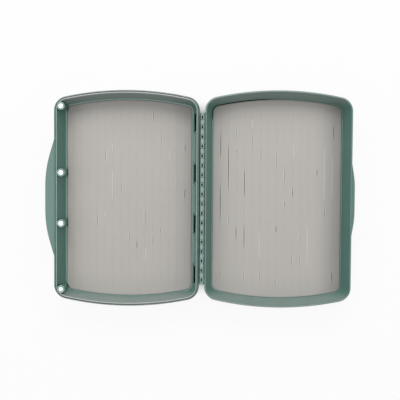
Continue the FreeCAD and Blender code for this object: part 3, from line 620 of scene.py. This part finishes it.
def tray_plastic(settings):
    """Satin moulded plastic with flow lines, fine grain and worn edges, painted highlights on
    crests, painted sheen on the ends and painted shade in gaps.
    """
    material, tree = new_material("tray_plastic")
    place = tree.place()
    height = tree.coordinate(place, "Z")
    soft = tree.node("ShaderNodeBevel", {"samples": 4}, {"Radius": settings.edge_round})
    flat = tree.node("ShaderNodeNewGeometry", output="Normal")
    inputs = {0: soft, 1: flat}
    alike = tree.node("ShaderNodeVectorMath", {"operation": "DOT_PRODUCT"}, inputs, "Value")

    clouds = tree.noise(place, settings.cloud_size, detail=3)
    flow = tree.streaks(place, settings.flow_size, share=0.12, detail=3)
    grain = tree.noise(place, settings.grain_size, roughness=0.6)
    # Patches that vary the real wear on edges, the painted crest highlight and the painted end
    # sheen.
    rubbed = tree.noise(place, size=9 * MM, detail=4, roughness=0.7)
    flecks = tree.step(tree.cells(place, size=1.9 * MM), low=0.16, high=0.08)
    edge = tree.step(1 - alike, low=0.01, high=0.12) * tree.step(rubbed, low=0.35, high=0.7)
    # Painted highlight on the tongue's crest and the knuckles' tops.
    crest = tree.step(height, settings.crest_height - CREST_RAMP, settings.crest_height)
    end_zone = end_sheen_mask(tree, place, height, settings)
    slots = level_faces(tree, place, settings.slot_floor)

    wear_and_highlight = tree.larger(edge * EDGE_WEAR, crest * weighted(CREST_HIGHLIGHT, rubbed=rubbed))
    wear_and_highlight = wear_and_highlight + flecks * FLECK_WEAR
    # Painted highlight along the lid's edge beside the hinge.
    wear_and_highlight = tree.larger(wear_and_highlight, beside_hinge(tree, place, 1, settings) * LID_GAP_HIGHLIGHT)
    # Painted sheen on the bowed ends, fainter on the lid's ends.
    share = 1 - lid_half(tree, place) * (1 - settings.lid_end_share)
    end_sheen = end_zone * weighted(END_SHEEN, rubbed=rubbed) * share
    colour = tree.blend(settings.colour, settings.end_sheen_colour, end_sheen)
    # The bowed ends and the knuckles get the paler painted-highlight colour.
    paled = tree.larger(end_zone, hinge_barrel(tree, place, settings) * BARREL_PALENESS)
    crests = tree.blend(settings.worn_and_highlight_colour, settings.crest_highlight_colour, paled)
    colour = tree.blend(colour, crests, wear_and_highlight)
    colour = colour * weighted(TRAY_SHADE, clouds=clouds, flow=flow, grain=grain)

    # Painted shade: the lid pad's far ledge, the slots' floors and the base's gap by the hinge
    # are painted near black and made metal, which has no sheen, so they stay dark under every
    # light.
    dark = tree.larger(lid_seam_shadow(tree, place, settings), slots * SLOT_DARKNESS)
    dark = tree.larger(dark, beside_hinge(tree, place, -1, settings) * BASE_GAP_DARKNESS)
    rough = weighted(TRAY_ROUGHNESS, clouds=clouds, grain=grain, edge=edge)
    inputs = {
        # Painted shade in crevices, and painted near-black shade where the dark mask lies.
        "Base Color": colour * tree.crevice(settings.crevice_size) * (1 - dark),
        "Metallic": dark,
        "Roughness": settings.roughness + rough,
        "IOR": 1.49,
        "Specular IOR Level": settings.gloss,
        "Normal": tree.bump(grain, settings.grain_height, soft),
    }
    tree.finish(tree.node("ShaderNodeBsdfPrincipled", {}, inputs))
    return material


# What each pattern adds to the pads' colour, relief and roughness. The painted
# shade by the walls grows from the near end to the far end.
PAD_SHADE = {"plain": 0.93, "clouds": 0.06, "lines": 0.05, "grain": 0.03, "pores": -0.03}
PAD_RELIEF = {"plain": 0.0, "grain": 0.6, "pores": -0.4}
PAD_ROUGHNESS = {"plain": 0.72, "grain": 0.1, "clouds": 0.06}
PAD_WALL_SHADE = {"plain": 0.19, "near_half": 0.19, "far_half": 0.06}
PAD_LATCH_SHADE = 0.3


def pad_silicone(settings):
    """Matte rubber with fine pores and faint lines along the slits; painted highlights on the lips,
    painted shade in the slits and by the walls.
    """
    material, tree = new_material("pad_silicone")
    place = tree.place()
    lips = tree.node("ShaderNodeAttribute", {"attribute_name": "lip"}, {}, "Fac")
    depth = tree.node("ShaderNodeAttribute", {"attribute_name": "groove"}, {}, "Fac")
    clouds = tree.noise(place, size=38 * MM, detail=3)
    lines = tree.streaks(place, size=1.5 * MM, share=0.045, detail=3, roughness=0.6)
    grain = tree.noise(place, size=0.5 * MM, detail=3, roughness=0.65)
    pores = tree.step(tree.cells(place, size=0.55 * MM), low=0.3, high=0.1)

    # Painted highlight on the raised lips.
    colour = tree.blend(settings.colour, settings.lip_colour, lips)
    # Painted shade inside the slits, by their depth.
    colour = tree.blend(colour, settings.slit_colour, depth)
    shade = weighted(PAD_SHADE, clouds=clouds, lines=lines, grain=grain, pores=pores)
    # Painted shade by the walls, stronger towards the far end.
    along = tree.coordinate(place, "Y")
    near, far = settings.near_end, settings.far_end
    near_half = tree.step(along, near, near / 2)
    far_half = tree.step(along, far / 2, far)
    wall_shade_strength = weighted(PAD_WALL_SHADE, near_half=near_half, far_half=far_half)
    border = 1 - wall_shade_strength * (1 - tree.openness(settings.wall_shade_reach, shut=0.5, free=1.0))
    # Painted shade along the lid pad's latch-side wall.
    latch_side_shade = tree.step(tree.coordinate(place, "X"), settings.latch_shade_start, settings.latch_shade_full)
    relief = weighted(PAD_RELIEF, grain=grain, pores=pores)
    inputs = {
        "Base Color": colour * shade * border * (1 - latch_side_shade * PAD_LATCH_SHADE),
        "Roughness": weighted(PAD_ROUGHNESS, grain=grain, clouds=clouds),
        "IOR": 1.41,
        "Normal": tree.bump(relief, distance=0.02 * MM),
    }
    tree.finish(tree.node("ShaderNodeBsdfPrincipled", {}, inputs))
    return material


NICKEL_ROUGHNESS = {"plain": 0.16, "scratches": 0.1, "stains": 0.06}
NICKEL_RELIEF = {"plain": 0.0, "rings": 0.5, "scratches": 0.5}


def magnet_nickel(settings):
    """Bright plating with turning marks and a few fine scratches."""
    material, tree = new_material("magnet_nickel")
    place = tree.place()
    flat = (tree.place("Generated") - (0.5, 0.5, 0.5)) * (1.0, 1.0, 0.0)
    length = {"operation": "LENGTH"}
    radius = tree.node("ShaderNodeVectorMath", length, {0: flat}, "Value")
    turns = radius * (2 * math.pi / settings.turning_pitch)
    rings = tree.node("ShaderNodeMath", {"operation": "SINE"}, {0: turns})
    scratches = tree.streaks(place, size=0.08 * MM, share=0.05)
    stains = tree.noise(place, size=1.2 * MM, detail=3)
    stained = tree.step(stains, low=0.5, high=0.8)
    colour = tree.blend(settings.nickel, settings.stained_nickel, stained)
    along = tree.coordinate(place, "Y")
    end_zone = tree.step(along, settings.dull_start, settings.dull_full)
    relief = weighted(NICKEL_RELIEF, rings=rings, scratches=scratches)
    inputs = {
        "Base Color": tree.blend(colour, settings.dull_nickel, end_zone),
        "Metallic": 1.0,
        "Roughness": weighted(NICKEL_ROUGHNESS, scratches=scratches, stains=stains),
        "Normal": tree.bump(relief, distance=0.003 * MM),
    }
    tree.finish(tree.node("ShaderNodeBsdfPrincipled", {}, inputs))
    return material


WIRE_SHADE = {"plain": 0.85, "drawn": 0.3}
WIRE_ROUGHNESS = {"plain": 0.34, "drawn": 0.16, "stains": 0.1}
WIRE_STAIN = 0.6


def pin_wire(settings):
    """Darkened wire with the long marks of its drawing."""
    material, tree = new_material("pin_wire")
    place = tree.place()
    drawn = tree.streaks(place, size=0.12 * MM, share=0.01, detail=3, roughness=0.6)
    stains = tree.noise(place, size=3.5 * MM, detail=3)
    stained = tree.step(stains, low=0.45, high=0.75) * WIRE_STAIN
    colour = tree.blend(settings.wire, settings.stained_wire, stained)
    shade = weighted(WIRE_SHADE, drawn=drawn)
    inputs = {
        # Painted shade darkens the wire inside the hinge's windows.
        "Base Color": colour * shade * tree.crevice(settings.window_size),
        "Metallic": 1.0,
        "Roughness": weighted(WIRE_ROUGHNESS, drawn=drawn, stains=stains),
        "Normal": tree.bump(drawn, distance=0.008 * MM),
    }
    tree.finish(tree.node("ShaderNodeBsdfPrincipled", {}, inputs))
    return material


FILM_ROUGHNESS = {"plain": 0.55, "patches": 0.2, "fibres": -0.1}


def adhesive_film(settings):
    """Off-white film with a thin web of fibres."""
    material, tree = new_material("adhesive_film")
    place = tree.place()
    across = tree.streaks(place, settings.fibre_size, share=0.08)
    along = tree.streaks(place, settings.fibre_size, share=0.08, axis=0)
    fibres = tree.step(across * along, low=0.2, high=0.4)
    patches = tree.noise(place, size=6 * MM, detail=3)
    inputs = {
        "Base Color": tree.blend(settings.colour, settings.fibre_colour, fibres),
        "Roughness": weighted(FILM_ROUGHNESS, patches=patches, fibres=fibres),
        "Normal": tree.bump(fibres, distance=0.01 * MM),
    }
    tree.finish(tree.node("ShaderNodeBsdfPrincipled", {}, inputs))
    return material


def dress(names, material):
    """Give named parts of the frame a material."""
    for name in names:
        slots = frame["nodes"][name].data.materials
        slots.clear()
        slots.append(material)


class PadOutline:
    """The outline of one pad, which follows its tray's at an even distance."""

    def __init__(self, node, tray, middle, settings):
        low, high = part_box(node)
        self.longest = high.y + settings.spread
        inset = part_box(tray)[1].y - self.longest
        self.left = low.x - settings.spread
        self.right = high.x + settings.spread
        self.bottom = low.z
        self.top = high.z
        self.middle = middle
        self.bow = settings.bow_radius - inset
        self.corner = settings.corner_radius - inset
        self.bow_y = self.longest - self.bow

    def corner_centre(self, x):
        """Find the middle of the corner arc on the same side as x."""
        centre = self.right - self.corner if x > self.middle else self.left + self.corner
        reach = math.sqrt((self.bow - self.corner) ** 2 - (centre - self.middle) ** 2)
        return centre, self.bow_y + reach

    def half_length(self, x):
        """Give how far the pad reaches from its middle at one place across it."""
        centre, centre_y = self.corner_centre(x)
        touch = (centre - self.middle) * self.bow / (self.bow - self.corner)
        if abs(x - self.middle) > abs(touch):
            return centre_y + math.sqrt(max(0, self.corner ** 2 - (x - centre) ** 2))
        return self.bow_y + math.sqrt(self.bow ** 2 - (x - self.middle) ** 2)

    def inside(self, x, y):
        """Give how far a point lies in from the outline."""
        centre, centre_y = self.corner_centre(x)
        if abs(x - self.middle) > abs(centre - self.middle) and abs(y) > centre_y:
            return self.corner - math.hypot(x - centre, abs(y) - centre_y)
        end = self.bow - math.hypot(x - self.middle, abs(y) - self.bow_y)
        return min(end, x - self.left, self.right - x)


class Slit:
    """One slit of a pad: where it lies, how far it gapes and how its lips stand."""

    def __init__(self, middle, length, gap, depth, lip=0.0, pale=0.0, side=1):
        self.middle = middle
        self.length = length
        self.gap = gap
        self.depth = depth
        self.lip = lip
        self.pale = pale
        self.side = side

    def opening(self, y):
        """Give how open the slit is at one place along it, from 0 to 1."""
        share = 2 * (y - self.middle) / self.length
        return math.sqrt(max(0.0, 1 - share ** 2))


def column_slits(name, column, settings):
    """List the slits of one column: the closed ones, and those pulled open."""
    slits = []
    for row in range(settings.slit_rows):
        middle = (row - (settings.slit_rows - 1) / 2) * settings.slit_pitch_along
        slits.append(Slit(middle, settings.slit_length, settings.shut_gap, settings.shut_depth))
    for number, (place, middle, length, kind) in enumerate(OPEN_SLITS[name]):
        if place != column:
            continue
        shares = SLIT_KIND_SHARES[kind]
        slits.append(Slit(
            middle * MM,
            length * MM,
            settings.open_gap * shares["gap"],
            settings.open_depth * shares["depth"],
            settings.lip_height * shares["lip"],
            shares["pale"],
            1 if number % 2 else -1,
        ))
    return slits


# Where the pads' mesh has lines besides those of its slits: as shares of the
# room between two columns, of the rounded edge and of the corner.
PLAIN_SHARES = (0.33, 0.67)
EDGE_SHARES = (0, 0.12, 0.4, 1)
CORNER_SHARES = (0.25, 0.45, 0.7)


def pad_lines(outline, settings):
    """List the mesh's lines along the pad: a place, its slit column and its role there.

    Role 0 is the bottom of a slit, 1 its edge, 2 the crest of its lip and 3 the
    lip's foot, with a sign for the side. Lines between slits have no column.
    """
    lines = []
    pitch = settings.slit_pitch_across
    middle = (outline.left + outline.right) / 2
    last = (settings.slit_columns - 1) / 2
    offsets = (0, settings.shut_gap / 2, settings.lip_crest, settings.lip_reach)
    for column in range(settings.slit_columns):
        x = middle + (column - last) * pitch
        for role in range(-3, 4):
            shift = math.copysign(offsets[abs(role)], role) if role else 0
            lines.append((x + shift, column, role))
        if column < settings.slit_columns - 1:
            start = x + settings.lip_reach
            room = pitch - 2 * settings.lip_reach
            lines.extend((start + room * share, None, 0) for share in PLAIN_SHARES)
    steps = [settings.edge_round * share for share in EDGE_SHARES]
    steps += [outline.corner * share for share in CORNER_SHARES]
    for step in steps:
        lines.append((outline.left + step, None, 0))
        lines.append((outline.right - step, None, 0))
    return sorted(lines, key=lambda line: line[0])


def pad_rows(outline, settings):
    """List the mesh's rows as shares of the pad's half length."""
    edge = settings.edge_round / outline.longest
    count = round(outline.longest / settings.spacing)
    rows = {row / count for row in range(-count + 1, count)}
    for share in EDGE_SHARES:
        rows.update((1 - edge * share, edge * share - 1))
    return sorted(rows)


def edge_drop(distance, radius):
    """Give how far a rounded edge lies below the top at a distance from the outline."""
    if distance >= radius:
        return 0.0
    rest = radius - max(distance, 0.0)
    return radius - math.sqrt(radius ** 2 - rest ** 2)


def press_aside(x, y, bosses, outline, settings):
    """Move a point of the pad out of the room round the magnet bosses."""
    for boss in bosses:
        away = Vector((x - boss.x, y - boss.y))
        nearest = outline.left - boss.x
        if nearest < away.length < settings.notch_reach:
            share = (away.length - nearest) / (settings.notch_reach - nearest)
            radius = settings.notch_radius
            radius += share * (settings.notch_reach - settings.notch_radius)
            moved = Vector((boss.x, boss.y)) + away.normalized() * max(radius, away.length)
            return moved.x, moved.y
    return x, y


# The pads' gentle waves: how many across and along a metre, and their share.
PAD_WAVES = ((90, 22, 1.0), (260, 60, 0.5))

# A slit is pulled up on one side. Its other lip rises and pales by these shares,
# and both edges rise by a share of the lip's crest. The paleness is a painted highlight.
LOW_LIP_RISE = 0.35
LOW_LIP_PALENESS = 0.3
SLIT_EDGE_RISE = 0.6


def pad_point(x, y, column, role, slits, outline, settings):
    """Give one point of a pad's top, how deep it lies in a slit and how pale its lip is painted as
    a highlight.
    """
    height = outline.top - edge_drop(outline.inside(x, y), settings.edge_round)
    for (across, along, share), seed in zip(PAD_WAVES, (outline.left, outline.right)):
        wave = noise.noise(Vector((x * across, y * along, seed)))
        height += wave * share * settings.unevenness
    if column is None:
        return x, height, 0.0, 0.0
    slit = max(slits, key=lambda item: item.gap * item.opening(y))
    opening = slit.opening(y)
    side = 1 if role > 0 else -1
    if role == 0:
        depth = slit.depth * opening
        return x, height - depth, depth / settings.open_depth, 0.0
    pulled = side == slit.side
    lip = slit.lip * opening * (1.0 if pulled else LOW_LIP_RISE)
    pale = slit.pale * opening * (1.0 if pulled else LOW_LIP_PALENESS)
    if abs(role) == 1:
        shift = slit.gap * opening / 2
        return x + side * shift, height + SLIT_EDGE_RISE * lip, 0.0, pale
    if abs(role) == 2:
        return x, height + lip, 0.0, pale
    return x, height, 0.0, 0.0


def grid_faces(across, along):
    """List the faces of a grid of points."""
    faces = []
    for i in range(across - 1):
        for j in range(along - 1):
            corner = i * along + j
            faces.append((corner, corner + along, corner + along + 1, corner + 1))
    return faces


def grid_rim(across, along):
    """List the points round a grid, in order."""
    rim = [i * along for i in range(across)]
    rim += [(across - 1) * along + j for j in range(1, along)]
    rim += [i * along + along - 1 for i in range(across - 2, -1, -1)]
    rim += range(along - 2, 0, -1)
    return rim


def pad_mesh(name, outline, bosses, settings):
    """Build a pad's closed mesh: its top with the slits, its sides and its flat foot."""
    lines = pad_lines(outline, settings)
    rows = pad_rows(outline, settings)
    slits = [column_slits(name, column, settings) for column in range(settings.slit_columns)]
    points, grooves, lips = [], [], []
    for x, column, role in lines:
        half = outline.half_length(x)
        for share in rows:
            y = share * half
            near = slits[column] if column is not None else ()
            moved, z, groove, lip = pad_point(x, y, column, role, near, outline, settings)
            moved, y = press_aside(moved, y, bosses, outline, settings)
            points.append((moved, y, z))
            grooves.append(groove)
            lips.append(lip)
    faces = grid_faces(len(lines), len(rows))
    rim = grid_rim(len(lines), len(rows))
    count = len(rim)
    foot = len(points)
    points += [(points[index][0], points[index][1], outline.bottom) for index in rim]
    grooves += [0.0] * count
    lips += [0.0] * count
    for i in range(count):
        after = (i + 1) % count
        faces.append((rim[after], rim[i], foot + i, foot + after))
    faces.append(tuple(foot + i for i in reversed(range(count))))
    mesh = bpy.data.meshes.new(name + "_top")
    mesh.from_pydata(points, [], faces)
    for attribute, values in (("groove", grooves), ("lip", lips)):
        layer = mesh.attributes.new(attribute, "FLOAT", "POINT")
        layer.data.foreach_set("value", values)
    mesh.validate()
    mesh.shade_smooth()
    mesh.set_sharp_from_angle(angle=SHARP_ANGLE)
    return mesh


def make_pad(name, body, middle, bosses, settings, material):
    """Put one slit pad in place of its plain solid."""
    outline = PadOutline(name, body + "_shell", middle, settings)
    mesh = pad_mesh(name, outline, bosses, settings)
    mesh.materials.append(material)
    piece = bpy.data.objects.new(name + "_slit", mesh)
    bpy.context.scene.collection.objects.link(piece)
    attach(piece, body)
    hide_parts(name)


def area_light(name, place, size, level):
    """Hang a soft light, aimed at the box, that gives a level face so much light."""
    data = bpy.data.lights.new(name, "AREA")
    data.shape = "RECTANGLE"
    data.size, data.size_y = size
    away = -Vector(place)
    lean = abs(away.normalized().z)
    data.energy = level * (math.pi * away.length) ** 2 / lean
    light = bpy.data.objects.new(name, data)
    light.location = place
    light.rotation_mode = "QUATERNION"
    light.rotation_quaternion = away.to_track_quat("-Z", "Y")
    light.visible_camera = False
    bpy.context.scene.collection.objects.link(light)


def floor_material(settings):
    """Pale floor that the camera sees near white, with the object's shadow on it and painted shade
    in gaps under the box.
    """
    material, tree = new_material("floor")
    mottle = tree.noise(tree.place(), size=0.3)
    colour = tree.blend(settings.floor_colour, settings.mottle_colour, mottle)
    plain = tree.node("ShaderNodeBsdfDiffuse", {}, {"Color": colour})
    faint = tree.node("ShaderNodeBsdfDiffuse", {}, {"Color": (1 - settings.floor_glow,) * 3})
    # Painted shade: the floor's glow is dimmed in the narrow gaps under the box.
    lit = tree.openness(settings.gap_reach, shut=0.1, free=0.45) * settings.floor_glow
    glow = tree.node("ShaderNodeEmission", {}, {"Color": lit, "Strength": 1.0})
    shown = tree.node("ShaderNodeAddShader", {}, {0: faint, 1: glow})
    inputs = {0: seen_rays(tree), 1: plain, 2: shown}
    tree.finish(tree.node("ShaderNodeMixShader", {}, inputs))
    return material


def seen_rays(tree):
    """Give 1 for rays from the camera and for what shows in metal and glass."""
    camera = tree.node("ShaderNodeLightPath", output="Is Camera Ray")
    glossy = tree.node("ShaderNodeLightPath", output="Is Glossy Ray")
    through = tree.node("ShaderNodeLightPath", output="Is Transmission Ray")
    return tree.larger(tree.larger(camera, glossy), through)


def make_world(settings):
    """Surround the box with soft light, seen as white."""
    world = bpy.data.worlds.new("studio")
    bpy.context.scene.world = world
    tree = Tree(world)
    dim = {"Color": (1, 1, 1), "Strength": WORLD_SHARE * settings.light_level}
    fill = tree.node("ShaderNodeBackground", {}, dim)
    white = tree.node("ShaderNodeBackground", {}, {"Color": (1, 1, 1), "Strength": 1.0})
    inputs = {0: seen_rays(tree), 1: fill, 2: white}
    sky = tree.node("ShaderNodeMixShader", {}, inputs)
    tree.node("ShaderNodeOutputWorld", {}, {"Surface": sky})


class FLYBOX_OT_trays(bpy.types.Operator):
    """Finish the two trays in satin moulded plastic"""

    bl_idname = "fly_box.trays"
    bl_label = "Trays"

    def execute(self, context):
        dress(["base_shell", "lid_shell"], tray_plastic(context.scene.fly_box.trays))
        return {"FINISHED"}


class FLYBOX_OT_pads(bpy.types.Operator):
    """Build the two slit pads with their opened slits"""

    bl_idname = "fly_box.pads"
    bl_label = "Slit pads"

    def execute(self, context):
        settings = context.scene.fly_box.pads
        material = pad_silicone(settings)
        magnets = sorted(name for name in frame["nodes"] if name.startswith("base_magnet"))
        bosses = [(low + high) / 2 for low, high in map(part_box, magnets)]
        reach = settings.tray_reach
        make_pad("base_pad", "base", HINGE_X - reach, bosses, settings, material)
        make_pad("lid_pad", "lid", HINGE_X + reach, [], settings, material)
        return {"FINISHED"}


class FLYBOX_OT_metal(bpy.types.Operator):
    """Plate the magnets and darken the hinge pin"""

    bl_idname = "fly_box.metal"
    bl_label = "Magnets and pin"

    def execute(self, context):
        settings = context.scene.fly_box.metal
        magnets = sorted(name for name in frame["nodes"] if "magnet" in name)
        dress(magnets, magnet_nickel(settings))
        dress(["hinge_pin"], pin_wire(settings))
        return {"FINISHED"}


class FLYBOX_OT_film(bpy.types.Operator):
    """Finish the adhesive sheets under the pads"""

    bl_idname = "fly_box.film"
    bl_label = "Adhesive sheets"

    def execute(self, context):
        film = adhesive_film(context.scene.fly_box.film)
        dress(["base_adhesive", "lid_adhesive"], film)
        return {"FINISHED"}


class FLYBOX_OT_stage(bpy.types.Operator):
    """Set the floor, the soft lights and the camera"""

    bl_idname = "fly_box.stage"
    bl_label = "Stage"

    def execute(self, context):
        settings = context.scene.fly_box.stage
        scene = context.scene
        scene.view_settings.view_transform = "Standard"
        bpy.ops.mesh.primitive_plane_add(size=6, location=(0, 0, -FLOOR_DROP))
        floor = context.active_object
        floor.name = "floor"
        floor.data.materials.append(floor_material(settings))
        make_world(settings)
        for name, place, size, share in SOFT_LIGHTS:
            area_light(name, place, size, share * settings.light_level)
        data = bpy.data.cameras.new("camera")
        data.sensor_width = 36
        data.lens = settings.camera_lens
        camera = bpy.data.objects.new("camera", data)
        camera.location = settings.camera_place
        camera.rotation_euler = settings.camera_turn
        scene.collection.objects.link(camera)
        scene.camera = camera
        return {"FINISHED"}


class FLYBOX_PT_panel(bpy.types.Panel):
    """Lists the steps that dress the fly box, and what can be set for each"""

    bl_label = "Fly Box"
    bl_idname = "FLYBOX_PT_panel"
    bl_space_type = "VIEW_3D"
    bl_region_type = "UI"
    bl_category = "Fly Box"

    def draw(self, context):
        settings = context.scene.fly_box
        for operator, group in STEPS:
            box = self.layout.box()
            box.operator(operator.bl_idname)
            for name in getattr(settings, group).__annotations__:
                box.prop(getattr(settings, group), name)


STEPS = [
    (FLYBOX_OT_trays, "trays"),
    (FLYBOX_OT_pads, "pads"),
    (FLYBOX_OT_metal, "metal"),
    (FLYBOX_OT_film, "film"),
    (FLYBOX_OT_stage, "stage"),
]

CLASSES = [
    TraySettings,
    PadSettings,
    MetalSettings,
    FilmSettings,
    StageSettings,
    FlyBoxSettings,
    FLYBOX_OT_trays,
    FLYBOX_OT_pads,
    FLYBOX_OT_metal,
    FLYBOX_OT_film,
    FLYBOX_OT_stage,
    FLYBOX_PT_panel,
]


def register():
    """Make the classes known and hang the settings on the scene."""
    for item in CLASSES:
        bpy.utils.register_class(item)
    bpy.types.Scene.fly_box = PointerProperty(type=FlyBoxSettings)


def unregister():
    """Take the settings and the classes away again."""
    del bpy.types.Scene.fly_box
    for item in reversed(CLASSES):
        bpy.utils.unregister_class(item)


def main():
    """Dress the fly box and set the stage."""
    register()
    bpy.ops.fly_box.trays()
    bpy.ops.fly_box.pads()
    bpy.ops.fly_box.metal()
    bpy.ops.fly_box.film()
    bpy.ops.fly_box.stage()


if __name__ == "__main__":
    main()
